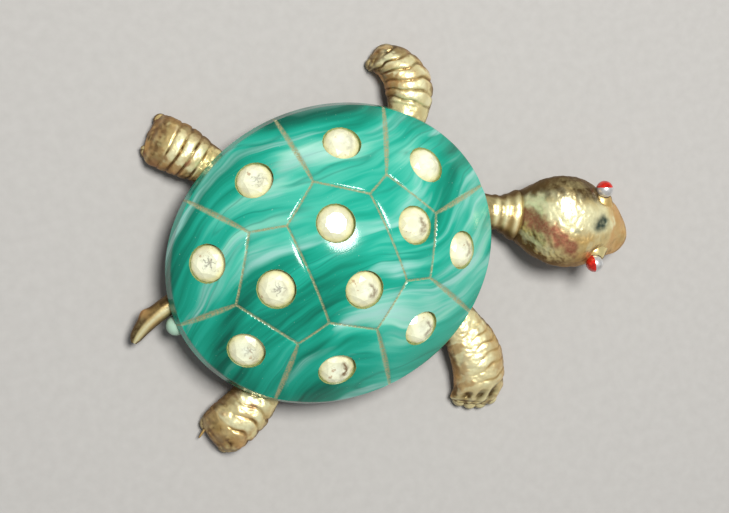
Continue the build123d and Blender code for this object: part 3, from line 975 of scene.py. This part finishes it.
leg_round = round_steps(leg_sides)
for seed, (name, *values) in enumerate(zip(leg_names, *leg_table.values())):
    leg = SimpleNamespace(**dict(zip(leg_table, values)))
    start = (centre.x + leg.root[0] * shell_length / 2, centre.y + leg.root[1] * shell_width / 2)
    shares = [i / leg_steps for i in range(leg_steps + 1)]
    path = curled_path(start, leg.heading, leg.bend, leg.reach, shares)
    rib_from, rib_to = leg.ribs
    rings, marks = [], []
    for k in range(leg_steps + 1 + tip_steps):
        share = shares[min(k, leg_steps)]
        middle, turn = path[min(k, leg_steps)]
        closing = math.pi / 2 * max(0, k - leg_steps) / (tip_steps + tip_blunt)
        shrink = math.cos(closing)
        slant = turn + math.radians(leg.toe_turn) * soft_step(share, 0.45, 0.95)
        side = right_of(level_way(slant))
        middle = middle + level_way(turn) * tip_round * math.sin(closing)
        wide, top, low, foot_share = section_at(leg_sections, share)
        girth = leg_width * leg.width * (1 + (leg.foot - 1) * foot_share)
        half = wide * girth / 2 * shrink
        top, low = top * leg_height, low * leg_height
        level, rise = (top + low) / 2, (top - low) / 2 * shrink
        ribbed = soft_step(share, rib_from - 0.04, rib_from) * (1 - soft_step(share, rib_to, rib_to + 0.05))
        footed = soft_step(share, 0.8, 0.92)
        ring = []
        for across, up in leg_round:
            # The ribs wander and fade, and the toes are parted by gaps with a notch at each gap's head.
            on_top = soft_step(up, -0.4, 0.3)
            wave = noise.noise(Vector((across * 1.3 + 7 * seed, up * 1.3, share * 3.5)))
            phase = (share - rib_from) / (rib_to - rib_from) * leg.rib_count
            phase += leg.wander * 1.6 * wave + leg.skew * across
            fading = noise.noise(Vector((across * 2 + 3 * seed, phase * 0.8, 4)))
            patchy = 0.45 + 0.55 * soft_step(fading, -0.25, 0.2)
            one_side = 1 - leg.rib_side * soft_step(across, -0.25, 0.35)
            valley = hill(abs(phase - round(phase)), rib_valley_width) * ribbed * on_top * patchy * one_side
            gaps = [(2 * n / leg.toes - 1) * toe_gap_spread for n in range(1, leg.toes)]
            toe_gap = max(hill(across - gap, toe_gap_width) for gap in gaps)
            pit = toe_gap * footed * on_top
            notch = pit * hill(share - notch_place, notch_width)
            place = middle + side * half * across
            grain = noise.noise(Vector((place.x, place.y, up * 2 + seed)))
            crumb = noise.noise(Vector((place.x * 2.7, place.y * 2.7, up * 5 + seed)))
            lumps = leg.rough * (coarse_lump * grain + fine_lump * crumb) * (1 + 0.6 * footed)
            bulge = leg.bulge * abs(math.sin(math.pi * phase)) ** 0.8 * ribbed - leg.rib_cut * valley
            grow = bulge - leg.toe_cut * pit - notch_cut * leg.toe_cut * notch + lumps * shrink
            point = middle + side * (half + grow * side_growth) * across
            point.z = max(level + (rise + grow) * up, 0.0)
            ring.append(point)

            # Hollows are darkened with patina, worn spots are tan, red or brown, the flanks get olive and
            # red-brown painted shade, and the ribs' tops, the knuckles and the leg's top get painted
            # highlights.
            tan, rust, brown = 0.0, 0.0, 0.0
            for spot_share, spot_across, long, wide, colors in leg_spots[name]:
                near = hill(share - spot_share, long) * hill(across - spot_across, wide)
                near = soft_step(near + 0.5 * crumb + 0.25 * grain, 0.3, 0.7) * on_top
                tan, rust, brown = (max(old, near * new) for old, new in zip((tan, rust, brown), colors))
            unworn = 1 - max(brown, tan, rust)
            stained = soft_step(crumb + 0.6 * grain, -0.25, 0.35)
            # Olive painted shade on the ribbed flanks, away from the top.
            olive_side_shade = leg.foot_dark * ribbed * (1 - soft_step(up + 0.4 * grain, 0.3, 0.75)) * on_top
            hollow = leg.rib_dark * valley + leg.toe_cut * (pit + notch_dark * notch)
            hollow += leg.foot_dark * footed * (0.25 + 0.6 * stained)
            # A red-brown painted shade tint on the leg's sides.
            red = 0.35 * soft_step(grain, 0.12, 0.4) * soft_step(abs(across), 0.2, 0.7)
            red *= soft_step(share, 0.3, 0.6) * leg.brown_side
            smooth = leg.brown_side * soft_step(wave + 0.35 * crumb, 0.02, 0.3) * soft_step(share, 0.35, 0.7)
            knuckled = leg.toe_cut * 2.5 * hill(share - knuckle_place, knuckle_width) * (1 - toe_gap)
            band = ribbed * unworn * (1 - min(1.0, 2 * valley)) * patchy
            band *= soft_step(up + 0.5 * grain, 0.5, 0.85)
            # Painted light brightens the leg's top.
            lit = leg.bright * soft_step(up + 0.5 * grain, 0.15, 0.65) * unworn
            lit *= 1 - min(1.0, 2 * max(valley, pit))
            dark = min(1.0, max(hollow, 0.7 * brown, 0.55 * olive_side_shade))
            marks.append((dark, max(red, rust), 0.0, max(smooth, tan), max(band, knuckled, lit), 0.0))
        rings.append(ring)
    add_piece(name, rings, marks)

    knuckle, turn = path[int(toe_line * leg_steps)]
    forward = level_way(turn + math.radians(leg.toe_turn))
    side = right_of(forward)
    spread = (leg_width * leg.width * leg.foot - toe_diameter) * leg.toe_spread
    toe_radius = toe_diameter * leg.toe_size / 2
    toe_turns = [math.pi * (n + 0.5) / toe_rings for n in range(toe_rings)]
    toe_profile = [(toe_radius * math.sin(rise), -toe_radius * math.cos(rise)) for rise in toe_turns]
    for i in range(leg.toes):
        aside = spread * (i / (leg.toes - 1) - 0.5) + leg.toe_shift
        ahead = leg.toe_out + leg.toe_arc * (1 - (2 * i / (leg.toes - 1) - 1) ** 2)
        place = knuckle + side * aside + forward * ahead
        place.z = 2 * toe_radius * toe_lift
        rings = turned_rings(toe_profile, toe_sides, standing(place, forward))
        rings = [[Vector((p.x, p.y, max(p.z, 0.0))) for p in ring] for ring in rings]
        # Each toe gets a painted highlight from the leg's painted light.
        add_piece(f"{name}_toe_{i + 1}", rings, crown=0.7 * leg.bright)

for name, (root, tip, thick) in claws.items():
    root = Vector(root) + centre.to_3d()
    out = Vector(tip) + centre.to_3d() - root
    profile = [(thick * wide, long * out.length) for wide, long in claw_profile]
    add_piece(name, turned_rings(profile, claw_sides, standing(root, out)))

# The neck and head. Its sections are shares of its own sizes: place, width, height, level
neck_overlap = 1.4
neck_length = 4.6
neck_width = 4.2
neck_height = 3.3
neck_ring_crests = (2.75, 3.8, 4.95)
neck_ring_width = 0.42 * 0.62
neck_ring_depth = 0.055
neck_narrow = 0.9
neck_flare = (0.72, 0.42)
neck_level = plate_top - leg_sink - 0.15 - neck_height / 2
head_length = 13.8
head_width = 9.9
head_height = 6.9
head_level = 4.8
head_turn = 24.5
head_sections = [
    (0.06, 0.57, 0.60, 0.25),
    (0.12, 0.70, 0.72, 0.45),
    (0.19, 0.84, 0.84, 0.72),
    (0.29, 0.955, 0.95, 0.92),
    (0.41, 1.00, 1.00, 1.00),
    (0.54, 0.96, 0.97, 0.95),
    (0.70, 0.79, 0.86, 0.75),
    (0.81, 0.64, 0.70, 0.50),
    (0.90, 0.48, 0.52, 0.35),
    (0.97, 0.28, 0.32, 0.25),
    (1.0, 0.08, 0.10, 0.22),
]
# Lumps and dents of the head: along it, to its left in millimetres, radius, height
head_lumps = [
    (0.31, 4.4, 2.4, 0.42),
    (0.16, 2.9, 1.7, 0.42),
    (0.565, -2.3, 0.8, 0.22),
    (0.66, 0.1, 1.0, -0.22),
    (0.76, 0.5, 1.0, 0.12),
    (0.86, -1.6, 1.0, -0.18),
    (0.955, -0.7, 0.7, 0.25),
    (0.685, 3.3, 1.1, -0.50),
    (0.685, -3.3, 1.1, -0.50),
]
# Places of the head: a red painted reflection, real stains, painted highlights and painted dark reflections.
# Each gives its first end, second end (along it, to its left), radius, strength
red_reflection_places = [((0.05, 0.15), (0.43, -2.9), 0.95, 1.0)]
stain_places = [
    ((0.625, 0.0), (0.66, 0.45), 0.85, 1.0),
    ((0.385, 0.05), (0.385, 0.05), 0.26, 0.8),
    ((0.43, -1.0), (0.45, -1.1), 0.26, 0.6),
]
highlight_places = [
    ((0.06, 1.3), (0.25, 1.2), 0.9, 0.9),
    ((0.26, 0.5), (0.62, 0.5), 2.1, 1.0),
    ((0.36, -0.6), (0.45, -0.2), 0.9, 0.8),
    ((0.035, -1.5), (0.27, -3.75), 0.30, 0.45),
    ((0.57, -2.3), (0.57, -2.3), 0.6, 0.5),
    ((0.76, 0.45), (0.765, 0.55), 0.6, 0.9),
]
dark_reflection_places = [
    ((0.0, 2.0), (0.20, 3.6), 1.2, 0.85),
    ((0.10, 3.1), (0.56, 3.9), 1.9, 1.0),
    ((0.30, -4.9), (0.55, -4.2), 0.9, 0.5),
]
swell = 0.10
pebble_height = 0.09
snout_bend = -0.55
head_forward = level_way(-math.radians(head_turn))
head_left = -right_of(head_forward)
head_root = Vector((centre.x + shell_length / 2 - neck_overlap, centre.y, 0))
head_sides = 184
neck_steps = 54
head_steps = 150
head_step_growth = 1.35


def inside_patches(along, left, places, wobble):
    """How far a place of the head is inside patches between two ends, from 0 to their strength."""
    here = Vector((along * head_length, left))
    found = 0.0
    for (along_a, left_a), (along_b, left_b), radius, strength in places:
        a = Vector((along_a * head_length, left_a))
        run = Vector((along_b * head_length, left_b)) - a
        share = min(1.0, max(0.0, (here - a).dot(run) / max(run.length_squared, 1e-9)))
        away = (here - a - run * share).length + wobble
        found = max(found, strength * (1 - soft_step(away, 0.3 * radius, 1.35 * radius)))
    return found


head_round = [(-across, up) for across, up in round_steps(head_sides)]
rings, marks = [], []
neck_end = neck_length + head_sections[0][0] * head_length
for i in range(neck_steps):
    along = neck_end * i / neck_steps
    crest = sum(hill(along - place, neck_ring_width) for place in neck_ring_crests)
    grow = neck_ring_depth * (2 * crest - 1) * soft_step(along, 1.5, 2.4)
    grow *= 1 - 0.5 * soft_step(along, 4.3, 4.9)
    cone = neck_narrow + (1 - neck_narrow) * soft_step(along, 2.2, 5.6)
    flare = soft_step(along / neck_end, 0.61, 0.98)
    base = head_root + head_forward * along
    low = 1 - min(1.0, crest * 1.4)
    ring = []
    for across, up in head_round:
        point = base + head_left * (neck_width / 2 * cone + grow + neck_flare[0] * flare) * across
        point.z = neck_level + (neck_height / 2 + grow + neck_flare[1] * flare) * up
        point += Vector((0, 0, up)) * 0.05 * noise.noise(point * 1.7)
        ring.append(point)
        # The crests' tops get painted highlights; the gaps between crests are darker, and the neck below its
        # top gets painted shade.
        lit = soft_step(up, 0.55, 0.95)
        marks.append((max(0.55 * low, 0.6 * (1 - lit)), 0.0, 0.0, 0.0, 0.9 * min(1.0, crest) * lit, 0.0))
    rings.append(ring)
first_share = head_sections[0][0]
for i in range(head_steps + 1):
    share = first_share + (1 - first_share) * (1 - (1 - i / head_steps) ** head_step_growth)
    base = head_root + head_forward * (neck_length + share * head_length)
    wide, high, lift = section_at(head_sections, share)
    half = wide * head_width / 2
    rise = high * head_height / 2
    level = neck_level + (head_level - neck_level) * lift
    sideways = snout_bend * soft_step(share, 0.82, 1.0)
    snout = soft_step(share, 0.68, 0.8)
    ring = []
    for across, up in head_round:
        left = half * across + sideways
        point = base + head_left * left
        point.z = level + rise * up
        pebble = noise.noise(point * 2.2) * 0.65 + noise.noise(point * 4.6) * 0.35
        grow = swell * noise.noise(point * 0.7) + pebble_height * pebble * (1 - 0.75 * snout)
        on_top = soft_step(up, 0.0, 0.5)
        for lump_along, lump_left, radius, height in head_lumps:
            away = math.hypot((share - lump_along) * head_length, left - lump_left)
            grow += height * hill(away, radius) * on_top
        grow *= min(1.0, half / 1.2)
        outward = head_left * across * rise + Vector((0, 0, up * half))
        point += outward.normalized() * grow
        ring.append(point)
        wobble = 0.35 * pebble + 0.5 * noise.noise(point * 1.1)
        # The red patch is a painted reflection.
        red = inside_patches(share, left, red_reflection_places, wobble) * on_top
        stain = inside_patches(share, left, stain_places, wobble * 0.6) * on_top
        # The highlight places get painted highlights.
        crown = inside_patches(share, left, highlight_places, wobble * 1.3) * on_top * (1 - red)
        # The dark places are a painted dark reflection, which joins the pebbles' patina in the darkening.
        brown = inside_patches(share, left, dark_reflection_places, wobble * 1.2) * on_top
        tan = max(snout, 0.55 * soft_step(-across, 0.4, 0.8) * soft_step(share, 0.3, 0.5))
        hollow = max(-0.8 * pebble * (1 - snout), 0.9 * brown, 0.0)
        marks.append((hollow, red, stain, tan, crown, 0.0))
    rings.append(ring)
add_piece("head", rings, marks)

# The tail. Its sections are shares of its own sizes: place, width, height, drop
tail_overlap = 2.1
tail_length = 7.45
tail_width = 2.0
tail_height = 1.9
tail_droop = 1.5
tail_heading = 195.0
tail_bend = 38.0
tail_side = 0.3
tail_flatness = 0.9
tail_level = plate_top - leg_sink - tail_height / 2
# The bump on its left side: share of the tail, half length, height
bump_place, bump_length, bump_height = 0.60, 0.6, 0.32
tail_sections = [
    (0.0, 1.0, 1.0, 0.0),
    (0.4, 1.0, 1.0, 0.25),
    (0.7, 0.90, 0.9, 0.6),
    (0.92, 0.62, 0.64, 0.9),
    (1.0, 0.30, 0.30, 1.0),
]
tail_steps = 80
tail_sides = 48
start = (centre.x + tail_overlap - shell_length / 2, centre.y + tail_side)
shares = [i / tail_steps for i in range(tail_steps + 1)]
rings, marks = [], []
for share, (middle, turn) in zip(shares, curled_path(start, tail_heading, tail_bend, tail_length, shares)):
    side = right_of(level_way(turn))
    wide, high, drop = section_at(tail_sections, share)
    half = wide * tail_width / 2
    rise = high * tail_height / 2
    middle = middle + Vector((0, 0, tail_level - tail_droop * drop))
    ring = []
    for across, up in round_steps(tail_sides):
        bumped = hill((share - bump_place) * tail_length, bump_length) * soft_step(across, 0.2, 0.9)
        # The top is flattened, as it was rubbed on a wheel.
        point = middle + side * (half + bump_height * bumped) * across
        point.z += rise * math.copysign(abs(up) ** tail_flatness, up)
        ring.append(point)
        # A painted highlight streak runs along the top, both sides get painted shade, and the bump is tinted
        # red-tan.
        face = soft_step(up, 0.25, 0.7) * (1 - soft_step(across, 0.15, 0.5))
        face *= 0.05 + 0.95 * hill(across + 0.15, 0.24)
        brown = max(soft_step(across, 0.1, 0.5) * (1 - bumped), 0.85 * soft_step(-across, 0.4, 0.75))
        marks.append((0.9 * brown, 0.25 * bumped, 0.0, 0.8 * bumped, face, 0.0))
    rings.append(ring)
add_piece("tail", rings, marks)

# The lug beside the tail is a short round-ended peg.
lug_radius = 1.05
lug_length = 4 * lug_radius
lug_reach = 1.0
lug_side = 8.0
lug_steps = 12
lug_sides = 36
lug_out = level_way(math.radians(180 + lug_side))
lug_place = shell_centre + lug_out * (shell_length / 2 + lug_reach - lug_length - lug_radius)
lug_place.z = plate_top - leg_sink - lug_radius
lug_profile = [(lug_radius, 0), (lug_radius, lug_length)] + [
    (lug_radius * math.cos(rise), lug_length + lug_radius * math.sin(rise))
    for rise in [math.pi / 2 * i / lug_steps for i in range(1, lug_steps)]
]
add_piece("lug", turned_rings(lug_profile, lug_sides, standing(lug_place, lug_out)), mint=1.0)

# The eyes' collars stand on the head, and each opens into a cup.
eye_radius = 0.95
eye_spacing = 8.2
eye_setback = 4.4
eye_lift = 1.1
eye_tilt = math.radians(35.0)
collar_drop = 0.58
collar_sides = 48
collar_inside = math.sqrt(eye_radius**2 - collar_drop**2)
collar_outside = collar_inside + 0.24
collar_profile = [
    (0.2, -2.2),
    (collar_outside + 0.9, -2.2),
    (collar_outside + 0.45, -1.35),
    (collar_outside + 0.12, -0.8),
    (collar_outside, -collar_drop - 0.12),
    (collar_outside - 0.08, -collar_drop),
    (collar_inside + 0.06, -collar_drop + 0.02),
    (collar_inside - 0.05, -collar_drop - 0.12),
    (0.5, -0.9),
    (0.1, -1.02),
]
eye_along = neck_length + head_length - eye_setback
eye_places = {}
for name, side in (("eye_left", 1), ("eye_right", -1)):
    place = head_root + head_forward * eye_along + head_left * side * eye_spacing / 2
    place.z = head_level + eye_lift
    out = head_left * side * math.cos(eye_tilt) + Vector((0, 0, math.sin(eye_tilt)))
    eye_places[name] = standing(place, out)
    add_piece(name + "_collar", turned_rings(collar_profile, collar_sides, eye_places[name]))

# All of it is one solid, kept inside the box of the part's own casting.
casting_sharp_angle = 55
joined = casting_pieces[0]
for piece in casting_pieces[1:]:
    joint = joined.modifiers.new(piece.name, "BOOLEAN")
    joint.operation = "UNION"
    joint.solver = "MANIFOLD"
    joint.object = piece
casting_mesh = finished_mesh(joined)
casting_mesh.name = "casting"
# Joining leaves an empty material behind, which would keep the gold off.
casting_mesh.materials.clear()
for piece in casting_pieces:
    bpy.data.objects.remove(piece)
casting_mesh.transform(Matrix.Scale(mm, 4))
body_low, body_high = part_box("body")
for vert in casting_mesh.vertices:
    vert.co = [min(max(c, low), high) for c, low, high in zip(vert.co, body_low, body_high)]
drop_slivers(casting_mesh, sliver_length * mm)
casting_mesh.shade_smooth()
casting_mesh.set_sharp_from_angle(angle=math.radians(casting_sharp_angle))
set_mark(casting_mesh, "facing_up", [soft_step(vert.normal.z, 0.35, 0.92) for vert in casting_mesh.vertices])
body = add_object("casting", casting_mesh)

warm_gold = (0.84, 0.56, 0.20)
bright_gold = (1.0, 0.86, 0.42)
side_brown_shade = (0.20, 0.11, 0.032)
pale_mint = (0.48, 0.72, 0.56)
gold, shader, place = new_material("gold_plating")
mottle = noise_of(place, 1000, 4.0, 0.6)
pits, rough = grained(place, 3600, 3.0, 0.6, values=(0.28, 0.42))
# Surfaces facing up are gold and the sides brown: partly rubbed plating and partly painted shade.
rubbed_and_lit = (read_mark(shader, "facing_up") + (mottle - 0.5) * 1.5).span(0.1, 0.75)
# What lies over the gold, painted highlights, painted shade and painted reflections among it: the values
# between which its mark counts, the noise that breaks it up, the limits of that noise with how much is left
# there, and its colour
coverings = {
    "smooth": ((0.0, 1.0), mottle, (0.35, 0.6, 0.5, 0.95), (0.80, 0.47, 0.17)),
    "hollow": ((0.08, 0.75), mottle, (0.3, 0.6, 0.5, 1.0), (0.12, 0.07, 0.022)),
    "crown": ((0.0, 1.0), pits, (0.36, 0.5, 0.85, 1.0), (1.0, 0.95, 0.58)),
    "red_wear": ((0.0, 1.0), pits, (0.38, 0.60, 0.82, 1.0), (0.40, 0.15, 0.085)),
    "stain": ((0.0, 1.0), mottle, (0.36, 0.52, 0.8, 1.0), (0.05, 0.075, 0.055)),
}
color = mix_colors(noise_of(place, 260, 4.0).span(0.36, 0.58), warm_gold, bright_gold)
color = mix_colors(rubbed_and_lit, side_brown_shade, color)
covered = {}
for name, (reach, broken, limits, covering) in coverings.items():
    covered[name] = read_mark(shader, name).span(*reach) * broken.span(*limits)
    color = mix_colors(covered[name], color, covering)
# The lug is pale mint green and not metallic.
mint = read_mark(shader, "mint")
dull = worked("MAXIMUM", worked("MAXIMUM", covered["red_wear"], covered["stain"]), 1.0 - rubbed_and_lit)
fill(shader, {
    "Base Color": mix_colors(mint, color, pale_mint),
    "Metallic": (0.65 - covered["crown"] * 0.25) * (1.0 - mint),
    "Roughness": rough + dull * 0.20,
    "Normal": bump(mottle * 0.6 + pits * 0.4, 0.0001, 0.5),
})
casting_mesh.materials.append(gold)
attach(body, "root")
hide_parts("body")


# The eyes.
# Each is a round of silvered glass painted red, cemented in its collar. The paint has rubbed off
# on one side, so a crescent of it is left.
eye_rings = 30
eye_sides = 56
# Where each eye's paint is left: the way it faces, and how far from the middle it ends
eye_paint = {
    "eye_left": ((0.25, 0.95, 0.05), 0.22),
    "eye_right": ((-0.95, 0.1, -0.1), 0.12),
}
paint_fade = 0.15
paint_red = (0.78, 0.022, 0.008)
paint_dark = (0.42, 0.012, 0.006)
dull_silver = (0.62, 0.60, 0.58)
bare_silver = (0.86, 0.88, 0.90)

painted_silver, shader, place = new_material("painted_silver")
wear, paint_tone = grained(place, 2600, limits=(0.35, 0.65))
painted = (read_mark(shader, "painted") + (wear - 0.5) * 0.5).span(0.42, 0.58)
silver = mix_colors(wear.span(0.3, 0.7), dull_silver, bare_silver)
fill(shader, {
    "Base Color": mix_colors(painted, silver, mix_colors(paint_tone, paint_dark, paint_red)),
    "Metallic": painted.span(0.0, 1.0, 0.55, 0.0),
    "Roughness": painted.span(0.0, 1.0, 0.32, 0.12),
    "Coat Weight": 0.8,
    "Coat Roughness": 0.03,
})
eye_profile = [
    (eye_radius * math.cos(rise), eye_radius * math.sin(rise))
    for rise in [math.pi * (i / eye_rings - 0.5) for i in range(1, eye_rings)]
]
for name, place in eye_places.items():
    eye_mesh = solid_mesh(name + "_stone", [turned_rings(eye_profile, eye_sides, place)])
    toward, edge = eye_paint[name]
    toward = Vector(toward).normalized()
    heights = [(vert.co - place.translation).dot(toward) for vert in eye_mesh.vertices]
    set_mark(eye_mesh, "painted", [soft_step(h, edge - paint_fade, edge + paint_fade) for h in heights])
    eye_mesh.transform(Matrix.Scale(mm, 4))
    eye_mesh.shade_smooth()
    eye_mesh.materials.append(painted_silver)
    eye = add_object(name + "_stone", eye_mesh)
    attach(eye, "root")
    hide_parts(name)


# The fastening pin.
# The solid under the plate stays as it is, in plated steel.
steel_colors = [(0.3, (0.62, 0.46, 0.22)), (0.7, (0.85, 0.68, 0.38))]
pin_steel, shader, place = new_material("pin_steel")
brushed, pin_roughness = grained(moved(place, stretch=(0.1, 1, 1)), 3000, values=(0.22, 0.38))
fill(shader, {"Base Color": color_ramp(brushed, steel_colors), "Roughness": pin_roughness, "Metallic": 1.0})
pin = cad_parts["pin"]
pin.data.materials.clear()
pin.data.materials.append(pin_steel)


# The table and the studio.
# A pale matt table, with one soft lamp overhead and an even pale room around it.
table_half = 2
table_level = -0.00002
paper_colors = [(0.3, (0.50, 0.49, 0.475)), (0.7, (0.53, 0.52, 0.505))]
lamp_way = Vector((0.15, 0.2, 0.96)).normalized()
lamp_distance = 0.34
room_color = (0.75, 0.77, 0.8)
room_strength = 0.25

floor_mesh = bpy.data.meshes.new("floor")
floor_ways = ((-1, -1), (1, -1), (1, 1), (-1, 1))
floor_corners = [(x * table_half, y * table_half, table_level) for x, y in floor_ways]
floor_mesh.from_pydata(floor_corners, [], [(0, 1, 2, 3)])
floor = add_object("floor", floor_mesh)
paper, shader, place = new_material("paper")
fill(shader, {"Base Color": color_ramp(noise_of(place, 900), paper_colors), "Roughness": 0.9})
floor_mesh.materials.append(paper)

lamp_data = bpy.data.lights.new("lamp", "AREA")
lamp_data.shape = "DISK"
lamp_data.size = 0.13
lamp_data.energy = 1.2
lamp_data.color = (1.0, 0.98, 0.94)
lamp = add_object("lamp", lamp_data)
lamp.location = shell_centre * mm + lamp_way * lamp_distance
lamp.rotation_euler = lamp_way.to_track_quat("Z", "Y").to_euler()
world = bpy.data.worlds.new("studio")
bpy.context.scene.world = world
world.use_nodes = True
fill(world.node_tree.nodes["Background"], {"Color": room_color, "Strength": room_strength})
bpy.context.scene.view_settings.view_transform = "Standard"
